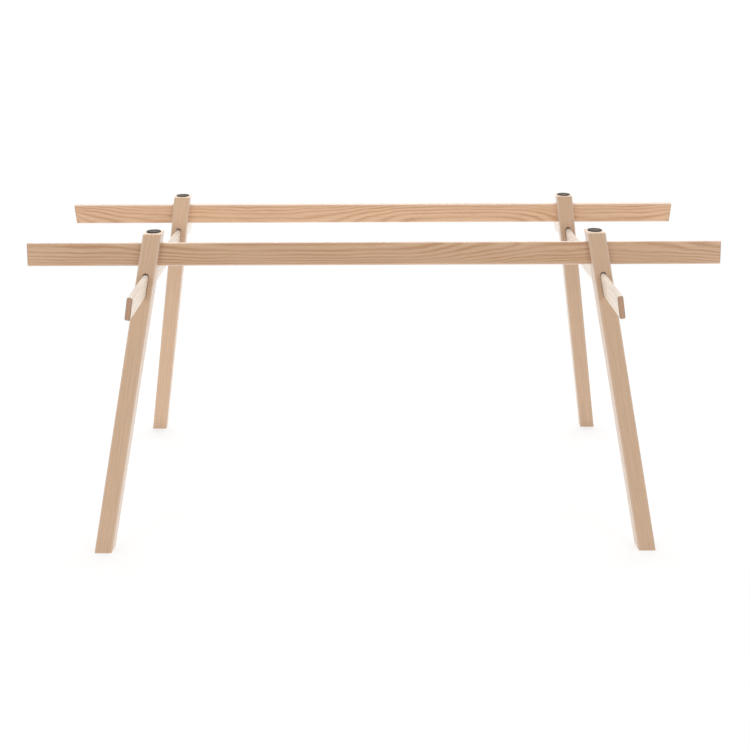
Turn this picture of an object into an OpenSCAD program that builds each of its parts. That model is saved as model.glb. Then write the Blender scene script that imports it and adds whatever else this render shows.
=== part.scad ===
// Plug-together trestle frame: four splayed legs, two long rails and two cross rails.
// Origin on the floor under the middle of the frame, +X along the long rails, +Z up.

/* [Overall] */
// Height of the leg tops above the floor
leg_top_z = 690; // [620:1:760]
// Lean of each leg along the long rails, within its side frame
splay_along = 10.5; // [8:0.5:13]
// Lean of each side frame towards the other one
splay_across = 12.5; // [9:0.5:14]

/* [Legs] */
// Side of the square leg section
leg_side = 38; // [36:1:44]
// Rounding of the long edges of a leg
leg_round = 3; // [1.5:0.5:5]
// Width of the easing round the foot and the top of a leg
leg_ease = 2; // [1:0.5:3]
// Distance between the left and right legs where they cross the long rail
leg_spread = 970; // [800:10:1200]

/* [Long rails] */
// Length of a long rail
rail_len = 1500; // [1300:10:1800]
// Height of the long rail section
rail_h = 50; // [44:1:54]
// Thickness of the long rail section
rail_t = 12; // [11:0.5:16]
// Drop from the leg tops to the long rail's centre line
rail_drop = 47; // [42:1:60]
// Distance between the centre lines of the two long rails
rail_gap = 420; // [360:2:480]

/* [Cross rails] */
// Length of a cross rail
cross_len = 820; // [740:10:920]
// Height of the cross rail section
cross_h = 50; // [44:1:54]
// Thickness of the cross rail section
cross_t = 12; // [11:0.5:14]
// Drop from the long rail's centre line to the cross rail's centre line
cross_drop = 64; // [62:1:80]

/* [Rail edges] */
// Rounding of the long edges of both kinds of rail
rail_round = 5; // [4:0.5:5]
// Rounding of the edges round the ends of the rails
rail_end_round = 3; // [1:0.5:4]

/* [Joint fits] */
// Play on each side of a long rail in its mortise
mortise_play = 0.4; // [0.3:0.1:0.8]
// Play on each side of a cross rail in its slot
slot_play = 0.8; // [0.5:0.1:1.2]
// Free height over a cross rail, up to the crown of its round-ended slot
slot_over = 3.5; // [3:0.5:6]
// Free height under a cross rail, down to the bottom of its slot
slot_under = 1.5; // [1.5:0.5:4]

/* [Top pads] */
// Diameter of a pad let into a leg top
pad_d = 31; // [24:0.5:32]
// Height that a pad stands proud of the leg top
pad_proud = 2; // [0.5:0.1:3]
// Depth of the recess that holds a pad
pad_depth = 3; // [2:0.5:6]
// Rounding of a pad's upper rim
pad_round = 1; // [0.3:0.1:1.2]
// Diameter of the shallow dish in a pad
dish_d = 20; // [12:0.5:22]
// Depth of that dish
dish_depth = 0.4; // [0.2:0.1:0.8]

/* [Hidden] */
$fn = 64;

leg_wood = [0.80, 0.67, 0.54];
rail_wood = [0.79, 0.64, 0.51];
pad_rubber = [0.22, 0.22, 0.22];

// Height of the long rail's centre line above the floor
rail_z = leg_top_z - rail_drop;
// Longer than any piece, for blanks and cutting tools
reach = 2 * leg_top_z;
// Gap round a pad in its recess
pad_play = 0.15;

// Lean of a leg as seen square on to a long rail
front_lean = atan(tan(splay_along) / cos(splay_across));
// Outward directions of a back right leg's faces: across the frame and along it
out_across = [0, cos(splay_across), sin(splay_across)];
out_along = [
    cos(splay_along),
    -sin(splay_along) * sin(splay_across),
    sin(splay_along) * cos(splay_across)
];
leg_faces = [out_across, -out_across, out_along, -out_along];
// Where the back right leg's centre line is level with the cross rail's
cross_centre = leg_centre(rail_z - cross_drop);
// Length of a slot and the height of its middle over the cross rail's centre line
slot_len = cross_h + slot_over + slot_under;
slot_rise = (slot_over - slot_under) / 2;
slot_w = cross_t + 2 * slot_play;

// Point on the back right leg's centre line at a height above the floor
function leg_centre(z) =
    let (s = (z - rail_z) / cos(splay_across))
    [leg_spread / 2 - s * tan(splay_along), rail_gap / 2 - s * sin(splay_across), z];

function unit(v) = v / norm(v);

// Point where a leg face meets the level cut at height z, straight out from the centre line
function leg_edge(z, face) =
    let (level = [face.x, face.y, 0])
    leg_centre(z) + level * (leg_side / 2) / (level * level);

// Everything beyond a plane through a point, on the side that the normal points to
module beyond(point, normal) {
    n = unit(normal);
    translate(point)
        rotate([0, acos(n.z), atan2(n.y, n.x)])
            translate([-reach, -reach, 0])
                cube(2 * reach);
}

// Rectangle about the origin with rounded corners
module rounded_rectangle(w, h, r) {
    square([w - 2 * r, h], center = true);
    square([w, h - 2 * r], center = true);
    for (x = [-1, 1], y = [-1, 1])
        translate([x * (w / 2 - r), y * (h / 2 - r)])
            circle(r);
}

// Places children in the leaning plane of the back side frame, on the long rail's centre
module in_side_frame() {
    translate([0, rail_gap / 2, rail_z])
        rotate([splay_across, 0, 0])
            children();
}

// Bar along X, of thickness t in Y and height h in Z, with rounded long edges
module bar(l, t, h, r) {
    rotate([90, 0, 90])
        linear_extrude(l, center = true)
            rounded_rectangle(t, h, r);
}

// Bar along X whose end edges are rounded too, in plan and as seen from the side
module rounded_bar(l, t, h, r) {
    intersection() {
        bar(l, t, h, r);
        linear_extrude(2 * h, center = true)
            rounded_rectangle(l, t, rail_end_round);
        rotate([90, 0, 0])
            linear_extrude(2 * t, center = true)
                rounded_rectangle(l, h, rail_end_round);
    }
}

// Slot with round ends, leaning with the legs and cut level through them
module cross_slot() {
    translate(cross_centre)
        rotate([0, -front_lean, 0])
            translate([0, 0, slot_rise])
                rotate([90, 0, 0])
                    linear_extrude(4 * leg_side, center = true) {
                        square([slot_w, slot_len - slot_w], center = true);
                        for (k = [-1, 1])
                            translate([0, k * (slot_len - slot_w) / 2])
                                circle(slot_w / 2);
                    }
}

// Through mortise for the long rail
module rail_mortise() {
    in_side_frame()
        translate([leg_spread / 2, 0, 0])
            bar(4 * leg_side, rail_t + 2 * mortise_play, rail_h + 2 * mortise_play,
                rail_round + mortise_play);
}

// Easing of the four edges of a level cut across a leg: up is 1 at the top, -1 at the foot
module end_easing(z, up) {
    for (face = leg_faces) {
        slope = unit(face + [0, 0, up]);
        beyond(leg_edge(z, face) - slope * leg_ease / sqrt(2), slope);
    }
}

// Back right leg: a leaning square bar cut level at foot and top
module leg() {
    difference() {
        intersection() {
            in_side_frame()
                translate([leg_spread / 2, 0, 0])
                    rotate([0, -splay_along, 0])
                        linear_extrude(reach, center = true)
                            rounded_rectangle(leg_side, leg_side, leg_round);
            cube([leg_spread, rail_gap + leg_top_z, leg_top_z]);
        }
        rail_mortise();
        cross_slot();
        translate(leg_centre(leg_top_z) - [0, 0, pad_depth])
            cylinder(d = pad_d + 2 * pad_play, h = 2 * pad_depth);
        end_easing(0, -1);
        end_easing(leg_top_z, 1);
    }
}

// Back long rail, leaning with its side frame
module long_rail() {
    in_side_frame()
        rounded_bar(rail_len, rail_t, rail_h, rail_round);
}

// Right cross rail, leaning with the right legs
module cross_rail() {
    translate([cross_centre.x, 0, cross_centre.z])
        rotate([0, -front_lean, 0])
            rotate([0, 0, 90])
                rounded_bar(cross_len, cross_t, cross_h, rail_round);
}

// Pad in the back right leg top: a disc with a rounded rim and a shallow dish
module pad() {
    top = pad_depth + pad_proud;
    translate(leg_centre(leg_top_z) - [0, 0, pad_depth])
        rotate_extrude()
            difference() {
                union() {
                    square([pad_d / 2 - pad_round, top]);
                    square([pad_d / 2, top - pad_round]);
                    translate([pad_d / 2 - pad_round, top - pad_round])
                        circle(pad_round);
                }
                translate([0, top - dish_depth])
                    square([dish_d / 2, 2 * dish_depth]);
                translate([-2 * pad_round, 0])
                    square([2 * pad_round, 2 * top]);
            }
}

// Turns a piece of the back right corner into that of another corner
module to_left() {
    mirror([1, 0, 0]) children();
}

module to_front() {
    mirror([0, 1, 0]) children();
}

module back_right_leg() { color(leg_wood) leg(); }
module back_left_leg() { color(leg_wood) to_left() leg(); }
module front_right_leg() { color(leg_wood) to_front() leg(); }
module front_left_leg() { color(leg_wood) to_front() to_left() leg(); }
module back_long_rail() { color(rail_wood) long_rail(); }
module front_long_rail() { color(rail_wood) to_front() long_rail(); }
module right_cross_rail() { color(rail_wood) cross_rail(); }
module left_cross_rail() { color(rail_wood) to_left() cross_rail(); }
module back_right_pad() { color(pad_rubber) pad(); }
module back_left_pad() { color(pad_rubber) to_left() pad(); }
module front_right_pad() { color(pad_rubber) to_front() pad(); }
module front_left_pad() { color(pad_rubber) to_front() to_left() pad(); }

back_right_leg();
back_left_leg();
front_right_leg();
front_left_leg();
back_long_rail();
front_long_rail();
right_cross_rail();
left_cross_rail();
back_right_pad();
back_left_pad();
front_right_pad();
front_left_pad();
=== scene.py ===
"""Looks of a plug-together trestle frame: pale wooden legs and rails, dark pads in the leg tops."""

import math
from typing import NamedTuple

import bpy
import numpy as np
from bpy.props import FloatProperty, FloatVectorProperty, PointerProperty
from mathutils import Matrix, Vector


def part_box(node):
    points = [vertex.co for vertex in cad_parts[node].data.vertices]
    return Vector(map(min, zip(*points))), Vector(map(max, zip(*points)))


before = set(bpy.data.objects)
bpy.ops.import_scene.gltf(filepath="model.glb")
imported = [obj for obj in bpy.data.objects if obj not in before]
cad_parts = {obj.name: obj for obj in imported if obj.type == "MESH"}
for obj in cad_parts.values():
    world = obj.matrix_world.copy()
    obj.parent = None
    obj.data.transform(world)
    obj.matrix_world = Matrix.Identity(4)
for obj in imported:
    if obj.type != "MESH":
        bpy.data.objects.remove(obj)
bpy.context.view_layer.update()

bl_info = {
    "name": "Trestle Frame",
    "version": (1, 0, 0),
    "blender": (4, 5, 0),
    "location": "View3D > Sidebar > Trestle",
    "description": "Finishes the pieces of a wooden trestle frame and sets them on a white stage",
    "category": "Object",
}

# Leans of the frame: each leg along the long rails, each side frame towards the other
LEAN_ALONG = math.radians(10.5)
LEAN_ACROSS = math.radians(12.5)
# Lean of the cross rails, as the legs are seen square on to a long rail
LEAN_CROSS = math.atan(math.tan(LEAN_ALONG) / math.cos(LEAN_ACROSS))

# Half sizes of the pieces, in metres: across the show face, through the piece and along the grain
LEG_HALF = (0.019, 0.019, 0.359)
LONG_RAIL_HALF = (0.025, 0.006, 0.750)
CROSS_RAIL_HALF = (0.025, 0.006, 0.410)

# Millimetres in a metre, because flat-sawn boards are described in mm
MM = 1000

# Noise bumps per metre across the show face, through the piece and along the grain
BEND_SCALE = (3.0, 3.0, 1.7)
WAVER_SCALE = (45, 45, 11)
PATCH_SCALE = (30, 30, 6)
STREAK_SCALE = (420, 420, 7)
FIBRE_SCALE = (2300, 2300, 40)
PORE_SCALE = (1700, 1700, 130)
# Noise bumps per metre on a pad: the pebble of its surface and the dust on it
PEBBLE_SCALE = (2600, 2600, 2600)
DUST_SCALE = (260, 260, 260)

# Share of dark late wood in the course of a year: points (part of the year, share)
SEASONS = (
    (0.0, 1.0), (0.10, 0.75), (0.26, 0.22), (0.50, 0.0), (0.70, 0.16), (0.88, 0.72), (1.0, 1.0))
# Strength of the growth lines in faint and in strong patches, and on a cut across the grain
FAINT_PATCH, STRONG_PATCH = 0.6, 1.3
END_LINES = 0.8
# Range that fine noise mostly keeps to, and how far fibres change the brightness each way
NOISE_LOW, NOISE_HIGH = 0.2, 0.8
FIBRE_SHADE = 0.03
# Noise at which a pore starts and is full, the share of pores half a year on, and what a pore adds to the
# brightness of the wood and to its height
PORE_START, PORE_FULL = 0.60, 0.70
LATER_PORES = 0.15
PORE_SHADE = -0.12
PORE_HEIGHT = -0.8
# What a growth line adds to the height
LINE_HEIGHT = 0.5

# How squarely a surface faces along the grain where end grain starts and is full, and where the eased
# edge round an end, darkened by painted shade, is full and stops
END_START, END_FULL = 0.3, 0.6
RIM_FULL, RIM_STOP = 0.80, 0.93
# How squarely it faces across the show face where a narrow face starts and is full
NARROW_START, NARROW_FULL = 0.5, 0.9

# Long edges, rubbed pale and partly a painted highlight: their colour, how much of it, and how far inside
# the corner it starts and is full
EDGE_COLOUR = (1, 0.97, 0.93, 1)
EDGE_SHARE = 0.10
EDGE_START, EDGE_FULL = -0.005, -0.001
# Raw wood in mortises and slots, rougher and darkened by painted shade: how far inside the bar's faces it
# is each end of a piece, with its level cut and its pad, that is never raw
RAW_FULL, RAW_STOP = -0.0020, -0.0010
FINISHED_END = 0.025
# How far streaks change the roughness of the finish each way, what raw wood adds to it, and the share of
# that which end grain has
STREAK_ROUGHNESS = 0.04
RAW_ROUGHNESS = 0.6
END_RAWNESS = 0.4

# Half width of the step between a pad's middle and its rim, and the colour of dust
PAD_STEP = 0.0008
DUST_COLOUR = (0.35, 0.34, 0.32, 1)

# Rings and spokes of the floor's mesh, and how far out it starts and ends its change to plain white
FLOOR_RINGS = 6
FLOOR_SPOKES = 96
FADE_START, FADE_END = 1.0, 1.8

# Colours of the lamps, the point that they all face, and the width of the camera's sensor in mm
WARM = (1, 0.97, 0.93)
WHITE = (1, 1, 1)
LIGHT_AIM = (0, 0, 0.5)
SENSOR_WIDTH = 36


def linear(red, green, blue):
    """Scene-linear colour of an sRGB colour given in 0 to 255."""
    share = np.array((red, green, blue)) / 255
    return tuple(np.where(share <= 0.04045, share / 12.92, ((share + 0.055) / 1.055) ** 2.4))


class StraightBoard(NamedTuple):
    """How a piece with straight grain was sawn from its tree.

    pith: where the tree's middle passes the piece's middle, across the show face and through it
    slope: how far the tree's middle strays from the piece's length, in the same two directions
    seed: start of the piece's own noise
    tone: brightness of the piece against its fellows
    """

    pith: tuple
    slope: tuple
    seed: float
    tone: float


class FlatSawnBoard(NamedTuple):
    """How a long rail was sawn, close to the middle of a tree that did not grow straight.

    aside: how far the tree's middle runs over the rail's centre line, in mm
    depth: points (along the rail from its middle, in front of its middle plane) of the tree's middle, in mm
    first: radius of the growth line from which the rings are counted, in mm
    years: rings per mm at that line, and half of what they gain per mm further out
    seed, tone: as for a straight board
    """

    aside: float
    depth: tuple
    first: float
    years: tuple
    seed: float
    tone: float


LEGS = {
    "back_right_leg": StraightBoard((0.160, 0.050), (0.004, 0.010), 3.1, 0.89),
    "back_left_leg": StraightBoard((-0.190, 0.030), (-0.006, 0.008), 7.7, 1.00),
    "front_right_leg": StraightBoard((0.210, -0.040), (0.003, -0.012), 12.4, 0.945),
    "front_left_leg": StraightBoard((-0.170, -0.055), (-0.004, 0.009), 18.9, 0.98),
}
# The back rail's higher tone than the front rail's is partly its board's own and partly painted light
LONG_RAILS = {
    "back_long_rail": FlatSawnBoard(
        -28, ((-750, 15), (-520, 54), (-230, 58), (0, 40), (260, 13), (560, 52), (750, 46)),
        20, (0.072, 0.0013), 23.6, 1.10),
    "front_long_rail": FlatSawnBoard(
        29, ((-750, 38), (-600, 37), (-300, 20), (-50, 20), (250, 46), (450, 57), (750, 48)),
        26, (0.115, 0.0017), 31.2, 0.96),
}
CROSS_RAILS = {
    "right_cross_rail": StraightBoard((0.020, 0.070), (0.006, 0.010), 41.3, 0.97),
    "left_cross_rail": StraightBoard((-0.015, 0.080), (0.008, -0.008), 47.8, 0.97),
}
PADS = ("back_right_pad", "back_left_pad", "front_right_pad", "front_left_pad")


class PanelLight(NamedTuple):
    """Soft rectangular lamp: its place, width and height, colour and the setting that holds its power."""

    place: tuple
    size: tuple
    colour: tuple
    power: str


PANEL_LIGHTS = {
    "left_front_panel": PanelLight((-3.0, -3.6, 1.8), (2.0, 1.6), WARM, "front_power"),
    "right_front_panel": PanelLight((3.0, -3.6, 1.8), (2.0, 1.6), WARM, "front_power"),
    "back_panel": PanelLight((0, 4.5, 1.85), (5.6, 1.3), WHITE, "back_power"),
    "top_panel": PanelLight((0, 0.7, 3.4), (3.2, 2.4), WHITE, "top_power"),
}


class WoodSettings(bpy.types.PropertyGroup):
    """What all the wooden pieces share."""

    # Painted shade: the share of its colour that the wood keeps inside a mortise or slot, where little
    # light reaches
    slot_painted_shade: FloatVectorProperty(
        name="Cut wood", description="Share of its colour that the wood keeps in a mortise or slot",
        subtype="COLOR", size=3, min=0, max=1, default=(0.58, 0.23, 0.07))
    # Painted light: the colour towards which the narrow faces are lightened
    narrow_painted_light_colour: FloatVectorProperty(
        name="Worn wood", description="Colour to which handling bleaches the narrow faces",
        subtype="COLOR", size=3, min=0, max=1, default=(0.79, 0.77, 0.74))
    roughness: FloatProperty(
        name="Roughness", description="Roughness of the finish",
        subtype="FACTOR", min=0, max=1, default=0.28)


class LegSettings(bpy.types.PropertyGroup):
    """Wood of the legs."""

    pale: FloatVectorProperty(
        name="Pale wood", description="Colour of the wood between the growth lines",
        subtype="COLOR", size=3, min=0, max=1, default=linear(207, 175, 146))
    dark: FloatVectorProperty(
        name="Growth lines", description="Colour of the dense wood at the end of a year's growth",
        subtype="COLOR", size=3, min=0, max=1, default=linear(186, 145, 110))
    # On the legs this is painted light: it makes their level tops paler and whiter than the face grain
    end_grain_and_painted_light: FloatVectorProperty(
        name="End grain", description="Colour of a cut across the wood, against its face",
        subtype="COLOR", size=3, min=0, max=2, default=(1.28, 1.50, 1.75))
    rim_painted_shade: FloatVectorProperty(
        name="End rims", description="Share of that colour left on the eased edges of the ends",
        subtype="COLOR", size=3, min=0, max=1, default=(1.0, 1.0, 1.0))
    ring_width: FloatProperty(
        name="Ring width", description="Width of one year's growth",
        unit="LENGTH", min=0.0005, max=0.02, default=0.0017)
    wave: FloatProperty(
        name="Wave", description="How far the growth rings wander",
        unit="LENGTH", min=0, max=0.1, default=0.006)
    contrast: FloatProperty(
        name="Contrast", description="Strength of the growth lines",
        subtype="FACTOR", min=0, max=1, default=0.11)
    streaks: FloatProperty(
        name="Streaks", description="Strength of the fine streaks along the grain",
        subtype="FACTOR", min=0, max=0.2, default=0.03)
    narrow_painted_light_share: FloatProperty(
        name="Wear", description="How far the narrow faces are bleached",
        subtype="FACTOR", min=0, max=1, default=0.0)
    sheen: FloatProperty(
        name="Sheen", description="Pale bloom of the fibres at a glancing view",
        subtype="FACTOR", min=0, max=1, default=0.45)


class LongRailSettings(bpy.types.PropertyGroup):
    """Wood of the two long rails."""

    pale: FloatVectorProperty(
        name="Pale wood", description="Colour of the wood between the growth lines",
        subtype="COLOR", size=3, min=0, max=1, default=linear(210, 174, 142))
    dark: FloatVectorProperty(
        name="Growth lines", description="Colour of the dense wood at the end of a year's growth",
        subtype="COLOR", size=3, min=0, max=1, default=linear(178, 132, 93))
    end_grain_and_painted_light: FloatVectorProperty(
        name="End grain", description="Colour of a cut across the wood, against its face",
        subtype="COLOR", size=3, min=0, max=2, default=(0.82, 0.73, 0.66))
    # Painted shade on the eased edges round the ends
    rim_painted_shade: FloatVectorProperty(
        name="End rims", description="Share of that colour left on the eased edges of the ends",
        subtype="COLOR", size=3, min=0, max=1, default=(0.78, 0.78, 0.80))
    wave: FloatProperty(
        name="Wave", description="How far the growth rings wander",
        unit="LENGTH", min=0, max=0.1, default=0.0036)
    contrast: FloatProperty(
        name="Contrast", description="Strength of the growth lines",
        subtype="FACTOR", min=0, max=1, default=0.72)
    streaks: FloatProperty(
        name="Streaks", description="Strength of the fine streaks along the grain",
        subtype="FACTOR", min=0, max=0.2, default=0.05)
    # Painted light: how far the narrow faces are lightened
    narrow_painted_light_share: FloatProperty(
        name="Wear", description="How far the narrow faces are bleached",
        subtype="FACTOR", min=0, max=1, default=0.4)
    sheen: FloatProperty(
        name="Sheen", description="Pale bloom of the fibres at a glancing view",
        subtype="FACTOR", min=0, max=1, default=0.45)


class CrossRailSettings(bpy.types.PropertyGroup):
    """Wood of the two cross rails."""

    # Paler than the other pieces' wood: partly its own colour and partly painted light
    pale: FloatVectorProperty(
        name="Pale wood", description="Colour of the wood between the growth lines",
        subtype="COLOR", size=3, min=0, max=1, default=linear(219, 195, 169))
    dark: FloatVectorProperty(
        name="Growth lines", description="Colour of the dense wood at the end of a year's growth",
        subtype="COLOR", size=3, min=0, max=1, default=linear(196, 160, 124))
    end_grain_and_painted_light: FloatVectorProperty(
        name="End grain", description="Colour of a cut across the wood, against its face",
        subtype="COLOR", size=3, min=0, max=2, default=(0.71, 0.59, 0.54))
    # Painted shade on the eased edges round the ends
    rim_painted_shade: FloatVectorProperty(
        name="End rims", description="Share of that colour left on the eased edges of the ends",
        subtype="COLOR", size=3, min=0, max=1, default=(0.62, 0.61, 0.61))
    ring_width: FloatProperty(
        name="Ring width", description="Width of one year's growth",
        unit="LENGTH", min=0.0005, max=0.02, default=0.0045)
    wave: FloatProperty(
        name="Wave", description="How far the growth rings wander",
        unit="LENGTH", min=0, max=0.1, default=0.014)
    contrast: FloatProperty(
        name="Contrast", description="Strength of the growth lines",
        subtype="FACTOR", min=0, max=1, default=0.06)
    streaks: FloatProperty(
        name="Streaks", description="Strength of the fine streaks along the grain",
        subtype="FACTOR", min=0, max=0.2, default=0.02)
    # Painted light: how far the narrow faces are lightened
    narrow_painted_light_share: FloatProperty(
        name="Wear", description="How far the narrow faces are bleached",
        subtype="FACTOR", min=0, max=1, default=0.55)
    sheen: FloatProperty(
        name="Sheen", description="Pale bloom of the fibres at a glancing view",
        subtype="FACTOR", min=0, max=1, default=0.65)


class PadSettings(bpy.types.PropertyGroup):
    """Finish of the round pads."""

    rim: FloatVectorProperty(
        name="Rim", description="Colour of the rim round a pad",
        subtype="COLOR", size=3, min=0, max=1, default=linear(36, 31, 27))
    # Painted reflection: the middle is paler than the rim as the lamps' reflection
    middle: FloatVectorProperty(
        name="Middle", description="Colour of the dished middle of a pad",
        subtype="COLOR", size=3, min=0, max=1, default=linear(70, 61, 52))
    middle_radius: FloatProperty(
        name="Middle radius", description="Radius at which the dished middle ends",
        unit="LENGTH", min=0.002, max=0.015, default=0.010)


class StageSettings(bpy.types.PropertyGroup):
    """Floor, lights and camera."""

    floor_radius: FloatProperty(
        name="Floor radius", description="Radius of the round floor",
        unit="LENGTH", min=2, max=50, default=12)
    floor_colour: FloatVectorProperty(
        name="Floor colour", description="Colour of the floor as the light meets it",
        subtype="COLOR", size=3, min=0, max=1, default=(0.88, 0.88, 0.88))
    floor_light: FloatProperty(
        name="Floor light", description="Light that the floor sends up, besides what bounces off it",
        min=0, max=2, default=0.30)
    shadow: FloatProperty(
        name="Shadow", description="Share of the seen floor that darkens in shadow",
        subtype="FACTOR", min=0, max=1, default=0.35)
    ambient: FloatProperty(
        name="Ambient light", description="Strength of the light from all round",
        min=0, max=2, default=0.34)
    front_power: FloatProperty(
        name="Front lights", description="Power of each of the two panels in front of the frame",
        unit="POWER", min=0, max=500, default=39)
    back_power: FloatProperty(
        name="Back light", description="Power of the wide panel behind the frame",
        unit="POWER", min=0, max=500, default=48)
    top_power: FloatProperty(
        name="Top light", description="Power of the panel over the frame",
        unit="POWER", min=0, max=500, default=95)
    camera_place: FloatVectorProperty(
        name="Camera", description="Where the camera stands",
        subtype="TRANSLATION", size=3, default=(-0.01551, -2.52098, 1.22038))
    camera_yaw: FloatProperty(
        name="Yaw", description="Turn of the camera to the right of +Y",
        unit="ROTATION", default=0.0069)
    camera_pitch: FloatProperty(
        name="Pitch", description="Tilt of the camera below level",
        unit="ROTATION", default=0.3556)
    camera_roll: FloatProperty(
        name="Roll", description="Turn of the camera about its own line of sight",
        unit="ROTATION", default=-0.0017)
    camera_lens: FloatProperty(
        name="Lens", description="Focal length on a sensor 36 mm wide",
        unit="CAMERA", min=10, max=200, default=52.46)


class Sheet:
    """Adds nodes to one node tree and links them. A value is a socket to link or a constant to set."""

    def __init__(self, tree):
        tree.nodes.clear()
        self.tree = tree

    def add(self, kind, inputs=None, **settings):
        """New node with its settings, and its inputs given by name or number."""
        node = self.tree.nodes.new(kind)
        for key, value in settings.items():
            setattr(node, key, value)
        for key, value in (inputs or {}).items():
            if isinstance(value, bpy.types.NodeSocket):
                self.tree.links.new(value, node.inputs[key])
            else:
                node.inputs[key].default_value = value
        return node

    def math(self, operation, first, second=0.0, third=0.0):
        """Result of one arithmetic step."""
        return self.add("ShaderNodeMath", {0: first, 1: second, 2: third}, operation=operation).outputs[0]

    def vector(self, operation, first, second=(0, 0, 0), third=(0, 0, 0)):
        """Result of one step on vectors: its number for a length or a dot product, or else its vector."""
        node = self.add("ShaderNodeVectorMath", {0: first, 1: second, 2: third}, operation=operation)
        return node.outputs["Value" if operation in ("LENGTH", "DOT_PRODUCT") else "Vector"]

    def scaled(self, vector, factor):
        """Vector or colour times a number."""
        node = self.add("ShaderNodeVectorMath", {0: vector, "Scale": factor}, operation="SCALE")
        return node.outputs["Vector"]

    def course(self, place, points):
        """Smooth course through points (place, height)."""
        places, heights = np.transpose(points)
        start, length = places[0], places[-1] - places[0]
        low, rise = heights.min(), np.ptp(heights)
        share = self.math("MULTIPLY_ADD", place, 1 / length, -start / length)
        node = self.add("ShaderNodeFloatCurve", {"Value": share})
        knots = node.mapping.curves[0].points
        while len(knots) < len(points):
            knots.new(0.5, 0.5)
        for knot, along, height in zip(knots, (places - start) / length, (heights - low) / rise):
            knot.location = (along, height)
        node.mapping.update()
        return self.math("MULTIPLY_ADD", node.outputs[0], rise, low)

    def noise(self, place, detail, roughness=0.5, colour=False):
        """Noise of about one bump per unit of place."""
        node = self.add("ShaderNodeTexNoise", {
            "Vector": place, "Scale": 1.0, "Detail": detail, "Roughness": roughness})
        return node.outputs[1 if colour else 0]

    def between(self, value, low, high, start=0.0, end=1.0):
        """Smooth step of value from start at low to end at high."""
        return self.add("ShaderNodeMapRange", {
            "Value": value, "From Min": low, "From Max": high, "To Min": start, "To Max": end,
        }, interpolation_type="SMOOTHSTEP").outputs[0]

    def ramp(self, value, stops):
        """Grey level that runs through (position, level) stops."""
        node = self.add("ShaderNodeValToRGB", {"Fac": value})
        elements = node.color_ramp.elements
        while len(elements) < len(stops):
            elements.new(0.5)
        for element, (position, level) in zip(elements, stops):
            element.position = position
            element.color = (level, level, level, 1)
        return node.outputs["Color"]

    def mix(self, share, first, second, blend="MIX"):
        """Colour between first and second, or second blended over first."""
        node = self.add(
            "ShaderNodeMix", {0: share, 6: first, 7: second}, data_type="RGBA", blend_type=blend)
        return node.outputs[2]

    def shaded(self, share, colour, shade):
        """Colour that is multiplied by a shade, as far as share goes."""
        return self.mix(share, colour, self.mix(1.0, colour, opaque(shade), "MULTIPLY"))

    def facing(self, normal, axis):
        """How squarely a surface faces along an axis, either way, from 0 to 1."""
        return self.math("ABSOLUTE", self.vector("DOT_PRODUCT", normal, axis))


def opaque(colour):
    """Colour with full alpha, as a colour socket takes it."""
    return (*colour, 1.0)


def middle_of(node):
    """Middle of a CAD node's box at rest."""
    low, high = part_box(node)
    return (low + high) / 2


def piece_axes(across, along):
    """Turn whose X is the way across the show face, whose Z is the grain, and whose Y passes through."""
    through = along.cross(across)
    return Matrix((across, through, along)).transposed()


def leg_axes(node):
    """A leg's axes: its bar is upright, then leans inwards along the frame and then across it."""
    place = middle_of(node)
    right = math.copysign(1, place.x)
    back = math.copysign(1, place.y)
    turn = Matrix.Rotation(back * LEAN_ACROSS, 3, "X") @ Matrix.Rotation(-right * LEAN_ALONG, 3, "Y")
    return piece_axes(turn @ Vector((1, 0, 0)), turn @ Vector((0, 0, 1)))


def long_rail_axes(node):
    """A long rail's axes: its grain is level along X, and its height leans with its side frame."""
    back = math.copysign(1, middle_of(node).y)
    turn = Matrix.Rotation(back * LEAN_ACROSS, 3, "X")
    return piece_axes(turn @ Vector((0, 0, 1)), Vector((1, 0, 0)))


def cross_rail_axes(node):
    """A cross rail's axes: its grain is level along Y, and its height leans with the legs it joins."""
    right = math.copysign(1, middle_of(node).x)
    turn = Matrix.Rotation(-right * LEAN_CROSS, 3, "Y")
    return piece_axes(turn @ Vector((0, 0, 1)), Vector((0, 1, 0)))


def straight_rings(sheet, piece, board, figure):
    """Ring count in a straight board: its distance from the tree's middle, bent by slow noise."""
    tree = sheet.add("ShaderNodeMapping", {
        "Vector": piece, "Location": (-board.pith[0], -board.pith[1], board.seed),
        "Rotation": (board.slope[1], -board.slope[0], 0)}, vector_type="POINT").outputs[0]
    slow = sheet.noise(sheet.vector("MULTIPLY", tree, BEND_SCALE), 3.0, 0.28, colour=True)
    shift = sheet.vector("MULTIPLY", sheet.vector("SUBTRACT", slow, (0.5, 0.5, 0.5)),
                         (2 * figure.wave, 2 * figure.wave, 0))
    bent = sheet.vector("ADD", tree, shift)
    radius = sheet.vector("LENGTH", sheet.vector("MULTIPLY", bent, (1, 1, 0)))
    return sheet.math("DIVIDE", radius, figure.ring_width)


def flat_sawn_rings(sheet, piece, board, figure):
    """Ring count in a flat-sawn rail: the tree's middle wanders along it, and rings close up further out.

    The radius is the distance from the wandering middle, wavered by noise. With d for the radius past the
    first line, the count is the first of the board's years times d plus the second times d squared.
    """
    parts = sheet.add("ShaderNodeSeparateXYZ", {0: piece})
    depth = sheet.course(sheet.math("MULTIPLY", parts.outputs[2], MM), board.depth)
    across = sheet.math("MULTIPLY_ADD", parts.outputs[0], MM, -board.aside)
    inward = sheet.math("MULTIPLY_ADD", parts.outputs[1], -MM, depth)
    squares = sheet.math("ADD", sheet.math("POWER", across, 2), sheet.math("POWER", inward, 2))
    radius = sheet.math("SQRT", squares)
    noise = sheet.noise(sheet.vector("MULTIPLY_ADD", piece, WAVER_SCALE, (0, 0, board.seed)), 2.0)
    waver = sheet.math("MULTIPLY", sheet.math("SUBTRACT", noise, 0.5), 2 * MM * figure.wave)
    past = sheet.math("ADD", sheet.math("SUBTRACT", radius, board.first), waver)
    closing = sheet.math("MULTIPLY_ADD", past, board.years[1], board.years[0])
    return sheet.math("MULTIPLY", past, closing)


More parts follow.
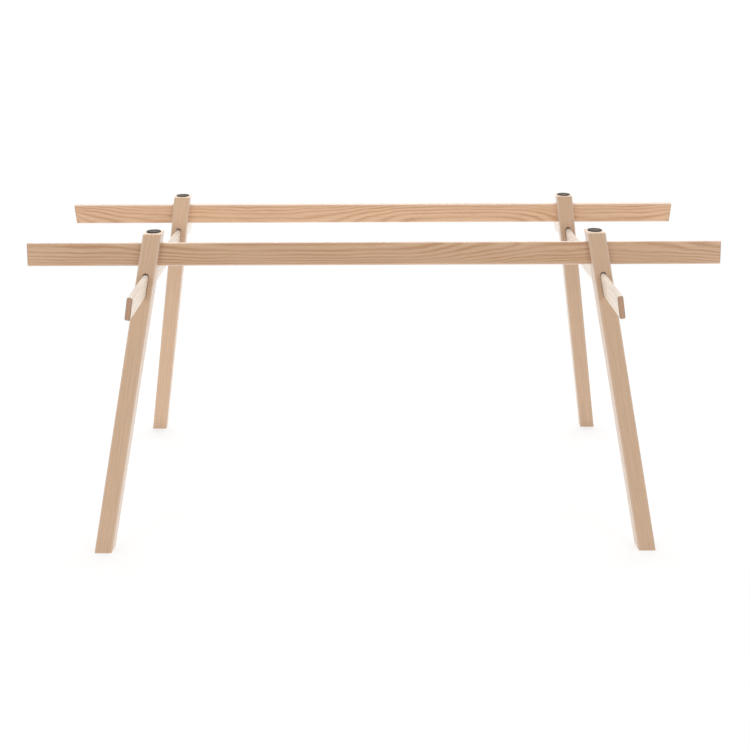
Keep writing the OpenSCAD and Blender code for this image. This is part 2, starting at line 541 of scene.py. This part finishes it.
def wood(node, board, axes, half, rings_of, figure, shared):
    """Material of one wooden piece, cut as a solid from its tree.

    The place is taken in the piece's own axes, and rings_of gives its ring count there. The fraction of
    the count is the season: the wood is dark about the turn of the year and pale between. Fine noise
    drawn out along the grain gives streaks, fibres and pores. A cut across the grain shows its end, whose
    eased rims are darkened as painted shade, and which on the legs' level tops is lightened as painted
    light. The long edges are pale, partly rubbed and partly a painted highlight, the narrow faces are
    lightened as painted light, and a mortise or slot is rougher inside and darkened as painted shade.
    """
    material = bpy.data.materials.new(node + "_wood")
    material.use_nodes = True
    sheet = Sheet(material.node_tree)
    coordinate = sheet.add("ShaderNodeTexCoord")
    normal = coordinate.outputs["Normal"]
    piece = sheet.add("ShaderNodeMapping", {
        "Vector": coordinate.outputs["Object"],
        "Location": middle_of(node), "Rotation": axes.to_euler("XYZ")}, vector_type="TEXTURE").outputs[0]
    season = sheet.math("FRACT", rings_of(sheet, piece, board, figure))
    late = sheet.ramp(season, SEASONS)

    # 0 on faces along the grain and 1 on cuts across it
    across_grain = sheet.facing(normal, axes.col[2])
    end = sheet.between(across_grain, END_START, END_FULL)

    # Growth lines, fainter and stronger in patches, and clear on end grain
    own = sheet.vector("ADD", piece, (0, 0, board.seed))
    patch = sheet.noise(sheet.vector("MULTIPLY", own, PATCH_SCALE), 1.0)
    strength = sheet.between(patch, 0.25, 0.75, FAINT_PATCH, STRONG_PATCH)
    strength = sheet.math("MULTIPLY", strength, figure.contrast)
    strength = sheet.math("MAXIMUM", strength, sheet.math("MULTIPLY", end, END_LINES))
    lines = sheet.math("MULTIPLY", late, strength)
    colour = sheet.mix(lines, opaque(figure.pale), opaque(figure.dark))

    # Streaks and fibres, both pale and dark, and dark pores, most of them early in the year
    streak = sheet.noise(sheet.vector("MULTIPLY", own, STREAK_SCALE), 3.0)
    fibre = sheet.noise(sheet.vector("MULTIPLY", own, FIBRE_SCALE), 1.0)
    pore_noise = sheet.noise(sheet.vector("MULTIPLY", own, PORE_SCALE), 0.0)
    pore = sheet.math("MULTIPLY", sheet.between(pore_noise, PORE_START, PORE_FULL),
                      sheet.between(season, 0.0, 0.5, 1.0, LATER_PORES))
    streak_shade = sheet.between(streak, NOISE_LOW, NOISE_HIGH, 1 - figure.streaks, 1 + figure.streaks)
    fibre_shade = sheet.between(fibre, NOISE_LOW, NOISE_HIGH, 1 - FIBRE_SHADE, 1 + FIBRE_SHADE)
    shade = sheet.math("MULTIPLY", streak_shade, fibre_shade)
    shade = sheet.math("MULTIPLY", shade, sheet.math("MULTIPLY_ADD", pore, PORE_SHADE, board.tone))
    colour = sheet.scaled(colour, shade)

    # Ends, and the eased edges round them: the end colour is end grain on the rails and painted light on
    # the legs' level tops, and painted shade darkens the eased edges
    rim = sheet.math("MULTIPLY", end, sheet.between(across_grain, RIM_FULL, RIM_STOP, 1.0, 0.0))
    colour = sheet.shaded(end, colour, figure.end_grain_and_painted_light)
    colour = sheet.shaded(rim, colour, figure.rim_painted_shade)

    # Long edges, by how far the place is inside the bar's faces: paler, partly rubbed and partly a painted
    # highlight
    inset = sheet.add("ShaderNodeSeparateXYZ", {
        0: sheet.vector("SUBTRACT", sheet.vector("ABSOLUTE", piece), half)})
    corner = sheet.math("MINIMUM", inset.outputs[0], inset.outputs[1])
    edge = sheet.between(corner, EDGE_START, EDGE_FULL)
    colour = sheet.mix(sheet.math("MULTIPLY", edge, EDGE_SHARE), colour, EDGE_COLOUR)

    # Narrow faces, lightened towards a pale colour as painted light
    narrow = sheet.between(sheet.facing(normal, axes.col[0]), NARROW_START, NARROW_FULL)
    colour = sheet.mix(sheet.math("MULTIPLY", narrow, figure.narrow_painted_light_share), colour, opaque(shared.narrow_painted_light_colour))

    # Walls of mortises and slots, which lie well inside all the bar's faces: painted shade darkens them
    skin = sheet.math("MAXIMUM", sheet.math("MAXIMUM", inset.outputs[0], inset.outputs[1]),
                      sheet.math("ADD", inset.outputs[2], FINISHED_END))
    raw_and_painted_shade = sheet.between(skin, RAW_FULL, RAW_STOP, 1.0, 0.0)
    colour = sheet.shaded(raw_and_painted_shade, colour, shared.slot_painted_shade)

    # Fine relief and gloss
    height = sheet.math("MULTIPLY_ADD", lines, LINE_HEIGHT, fibre)
    height = sheet.math("MULTIPLY_ADD", pore, PORE_HEIGHT, height)
    bump = sheet.add("ShaderNodeBump", {"Strength": 0.2, "Distance": 0.0002, "Height": height})
    smoothest, roughest = shared.roughness - STREAK_ROUGHNESS, shared.roughness + STREAK_ROUGHNESS
    finish = sheet.between(streak, NOISE_LOW, NOISE_HIGH, smoothest, roughest)
    bare = sheet.math("MAXIMUM", sheet.math("MULTIPLY", end, END_RAWNESS), raw_and_painted_shade)
    roughness = sheet.math("MULTIPLY_ADD", bare, RAW_ROUGHNESS, finish)
    shader = sheet.add("ShaderNodeBsdfPrincipled", {
        "Base Color": colour, "Roughness": roughness, "Normal": bump.outputs[0],
        "IOR": 1.5, "Sheen Weight": figure.sheen, "Sheen Roughness": 0.4,
        "Sheen Tint": (1, 0.98, 0.95, 1)})
    sheet.add("ShaderNodeOutputMaterial", {"Surface": shader.outputs[0]})
    return material


def pad_finish(node, look):
    """Material of one pad: a dark rim, a paler dished middle, and the fine pebble of moulded rubber.

    The middle's paler colour is a painted reflection of the lamps.
    """
    material = bpy.data.materials.new(node + "_rubber")
    material.use_nodes = True
    sheet = Sheet(material.node_tree)
    coordinate = sheet.add("ShaderNodeTexCoord")
    place = sheet.add("ShaderNodeMapping", {
        "Vector": coordinate.outputs["Object"],
        "Location": middle_of(node)}, vector_type="TEXTURE").outputs[0]
    radius = sheet.vector("LENGTH", sheet.vector("MULTIPLY", place, (1, 1, 0)))
    rim = sheet.between(radius, look.middle_radius - PAD_STEP, look.middle_radius + PAD_STEP)
    pebble = sheet.noise(sheet.vector("MULTIPLY", place, PEBBLE_SCALE), 2.0)
    dust = sheet.noise(sheet.vector("MULTIPLY", place, DUST_SCALE), 3.0, 0.6)
    # The paler middle is a painted reflection
    colour = sheet.mix(rim, opaque(look.middle), opaque(look.rim))
    colour = sheet.mix(sheet.between(dust, 0.55, 0.75, 0.0, 0.12), colour, DUST_COLOUR)
    bump = sheet.add("ShaderNodeBump", {"Strength": 0.3, "Distance": 0.0001, "Height": pebble})
    roughness = sheet.between(pebble, 0.3, 0.7, 0.6, 0.75)
    shader = sheet.add("ShaderNodeBsdfPrincipled", {
        "Base Color": colour, "Roughness": roughness, "Normal": bump.outputs[0], "IOR": 1.5,
        "Specular IOR Level": 0.2})
    sheet.add("ShaderNodeOutputMaterial", {"Surface": shader.outputs[0]})
    return material


def dress(node, material):
    """Puts one material on a CAD node, in place of what it came with."""
    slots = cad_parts[node].data.materials
    slots.clear()
    slots.append(material)


def round_floor(radius, rings, spokes):
    """Disc in the plane z = 0: radius times (u cos 2 pi v, u sin 2 pi v, 0), with u and v from 0 to 1."""
    u, v = np.meshgrid(np.linspace(0, 1, rings + 1)[1:], np.arange(spokes) / spokes, indexing="ij")
    outer = np.stack((u * np.cos(2 * np.pi * v), u * np.sin(2 * np.pi * v), 0 * u), -1).reshape(-1, 3)
    points = radius * np.vstack((np.zeros((1, 3)), outer))
    spoke = np.arange(spokes)
    after = (spoke + 1) % spokes
    fan = np.stack((0 * spoke, 1 + spoke, 1 + after), -1)
    start = 1 + spokes * np.arange(rings - 1)[:, None]
    quads = np.stack((start + spoke, start + spokes + spoke, start + spokes + after, start + after), -1)
    mesh = bpy.data.meshes.new("floor")
    mesh.from_pydata(points.tolist(), [], fan.tolist() + quads.reshape(-1, 4).tolist())
    mesh.update()
    return mesh


def seen(sheet):
    """1 for rays that show a surface, straight or by gloss or glass, and 0 for rays that light others."""
    path = sheet.add("ShaderNodeLightPath")
    glossy = sheet.math("MAXIMUM", path.outputs["Is Glossy Ray"], path.outputs["Is Transmission Ray"])
    return sheet.math("MAXIMUM", path.outputs["Is Camera Ray"], glossy)


def floor_finish(look):
    """White floor that keeps the shadow under the frame.

    Light bounces off it as off pale card, and it sends up some of its own, as a lit white room does. To
    the eye it is part glow and part card, so that it is white where lit and darkens in shadow, and
    further out it is all glow and meets the white background.
    """
    material = bpy.data.materials.new("floor_white")
    material.use_nodes = True
    sheet = Sheet(material.node_tree)
    coordinate = sheet.add("ShaderNodeTexCoord")
    away = sheet.vector("LENGTH", coordinate.outputs["Object"])
    card = sheet.add("ShaderNodeBsdfDiffuse", {"Color": opaque(look.floor_colour)})
    shown = sheet.add("ShaderNodeBsdfDiffuse", {"Color": opaque((look.shadow,) * 3)})
    glow = sheet.add("ShaderNodeEmission", {"Strength": 1.0 - look.shadow})
    white = sheet.add("ShaderNodeEmission", {"Strength": 1.0})
    near = sheet.add("ShaderNodeAddShader", {0: shown.outputs[0], 1: glow.outputs[0]})
    view = sheet.add("ShaderNodeMixShader", {
        0: sheet.between(away, FADE_START, FADE_END), 1: near.outputs[0], 2: white.outputs[0]})
    uplight = sheet.add("ShaderNodeEmission", {"Strength": look.floor_light})
    source = sheet.add("ShaderNodeAddShader", {0: card.outputs[0], 1: uplight.outputs[0]})
    surface = sheet.add("ShaderNodeMixShader", {
        0: seen(sheet), 1: source.outputs[0], 2: view.outputs[0]})
    sheet.add("ShaderNodeOutputMaterial", {"Surface": surface.outputs[0]})
    return material


def add_floor(scene, look):
    """Adds the round floor, as a part of the stage."""
    floor = bpy.data.objects.new("floor", round_floor(look.floor_radius, FLOOR_RINGS, FLOOR_SPOKES))
    floor.data.materials.append(floor_finish(look))
    scene.collection.objects.link(floor)


def light_room(scene, look):
    """Lights the frame from all round by a room that is seen as white."""
    scene.world = bpy.data.worlds.new("white_room")
    scene.world.use_nodes = True
    sheet = Sheet(scene.world.node_tree)
    level = sheet.math("MULTIPLY_ADD", seen(sheet), 1.0 - look.ambient, look.ambient)
    room = sheet.add("ShaderNodeBackground", {"Color": (1, 1, 1, 1), "Strength": level})
    sheet.add("ShaderNodeOutputWorld", {"Surface": room.outputs[0]})


def add_panel(scene, look, name, panel):
    """Adds a soft rectangular lamp, turned to the aim, that the camera doesn't see."""
    lamp = bpy.data.lights.new(name, "AREA")
    lamp.shape = "RECTANGLE"
    lamp.size, lamp.size_y = panel.size
    lamp.energy = getattr(look, panel.power)
    lamp.color = panel.colour
    holder = bpy.data.objects.new(name, lamp)
    holder.location = panel.place
    ahead = Vector(LIGHT_AIM) - Vector(panel.place)
    holder.rotation_euler = ahead.to_track_quat("-Z", "Y").to_euler()
    holder.visible_camera = False
    scene.collection.objects.link(holder)


def add_camera(scene, look):
    """Adds the camera, turned by its yaw, pitch and roll."""
    yaw, pitch, roll = look.camera_yaw, look.camera_pitch, look.camera_roll
    level = Vector((math.sin(yaw), math.cos(yaw), 0))
    ahead = level * math.cos(pitch) - Vector((0, 0, math.sin(pitch)))
    right = Vector((math.cos(yaw), -math.sin(yaw), 0))
    up = right.cross(ahead)
    turned_right = right * math.cos(roll) + up * math.sin(roll)
    turned_up = up * math.cos(roll) - right * math.sin(roll)
    camera = bpy.data.objects.new("camera", bpy.data.cameras.new("camera"))
    camera.data.sensor_width = SENSOR_WIDTH
    camera.data.lens = look.camera_lens
    camera.location = look.camera_place
    camera.rotation_euler = Matrix((turned_right, turned_up, -ahead)).transposed().to_euler()
    scene.collection.objects.link(camera)
    scene.camera = camera


class TRESTLE_OT_legs(bpy.types.Operator):
    """Finish the four legs"""

    bl_idname = "trestle.legs"
    bl_label = "Finish Legs"

    def execute(self, context):
        for node, board in LEGS.items():
            dress(node, wood(node, board, leg_axes(node), LEG_HALF, straight_rings,
                             context.scene.trestle_legs, context.scene.trestle_wood))
        return {"FINISHED"}


class TRESTLE_OT_long_rails(bpy.types.Operator):
    """Finish the two long rails"""

    bl_idname = "trestle.long_rails"
    bl_label = "Finish Long Rails"

    def execute(self, context):
        for node, board in LONG_RAILS.items():
            dress(node, wood(node, board, long_rail_axes(node), LONG_RAIL_HALF, flat_sawn_rings,
                             context.scene.trestle_long_rails, context.scene.trestle_wood))
        return {"FINISHED"}


class TRESTLE_OT_cross_rails(bpy.types.Operator):
    """Finish the two cross rails"""

    bl_idname = "trestle.cross_rails"
    bl_label = "Finish Cross Rails"

    def execute(self, context):
        for node, board in CROSS_RAILS.items():
            dress(node, wood(node, board, cross_rail_axes(node), CROSS_RAIL_HALF, straight_rings,
                             context.scene.trestle_cross_rails, context.scene.trestle_wood))
        return {"FINISHED"}


class TRESTLE_OT_pads(bpy.types.Operator):
    """Finish the four pads in the leg tops"""

    bl_idname = "trestle.pads"
    bl_label = "Finish Pads"

    def execute(self, context):
        for node in PADS:
            dress(node, pad_finish(node, context.scene.trestle_pads))
        return {"FINISHED"}


class TRESTLE_OT_stage(bpy.types.Operator):
    """Set up the floor, the lights, the background and the camera"""

    bl_idname = "trestle.stage"
    bl_label = "Set Up Stage"

    def execute(self, context):
        scene = context.scene
        look = scene.trestle_stage
        scene.view_settings.view_transform = "Standard"
        add_floor(scene, look)
        light_room(scene, look)
        for name, panel in PANEL_LIGHTS.items():
            add_panel(scene, look, name, panel)
        add_camera(scene, look)
        return {"FINISHED"}


class TRESTLE_PT_sidebar(bpy.types.Panel):
    """Lists the steps of the trestle frame's looks"""

    bl_idname = "TRESTLE_PT_sidebar"
    bl_label = "Trestle Frame"
    bl_space_type = "VIEW_3D"
    bl_region_type = "UI"
    bl_category = "Trestle"

    def draw(self, context):
        for operator, settings in STEPS:
            box = self.layout.box()
            box.operator(operator.bl_idname)
            for owner in settings:
                group = getattr(context.scene, owner)
                for name in group.__annotations__:
                    box.prop(group, name)


SETTINGS = {
    "trestle_wood": WoodSettings,
    "trestle_legs": LegSettings,
    "trestle_long_rails": LongRailSettings,
    "trestle_cross_rails": CrossRailSettings,
    "trestle_pads": PadSettings,
    "trestle_stage": StageSettings,
}
STEPS = (
    (TRESTLE_OT_legs, ("trestle_wood", "trestle_legs")),
    (TRESTLE_OT_long_rails, ("trestle_long_rails",)),
    (TRESTLE_OT_cross_rails, ("trestle_cross_rails",)),
    (TRESTLE_OT_pads, ("trestle_pads",)),
    (TRESTLE_OT_stage, ("trestle_stage",)),
)
CLASSES = (*SETTINGS.values(), *(operator for operator, _ in STEPS), TRESTLE_PT_sidebar)


def register():
    """Registers the classes and hangs the settings on the scene."""
    for cls in CLASSES:
        bpy.utils.register_class(cls)
    for owner, group in SETTINGS.items():
        setattr(bpy.types.Scene, owner, PointerProperty(type=group))


def unregister():
    """Undoes register."""
    for owner in SETTINGS:
        delattr(bpy.types.Scene, owner)
    for cls in reversed(CLASSES):
        bpy.utils.unregister_class(cls)


def main():
    """Finishes every piece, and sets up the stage."""
    register()
    bpy.ops.trestle.legs()
    bpy.ops.trestle.long_rails()
    bpy.ops.trestle.cross_rails()
    bpy.ops.trestle.pads()
    bpy.ops.trestle.stage()


if __name__ == "__main__":
    main()
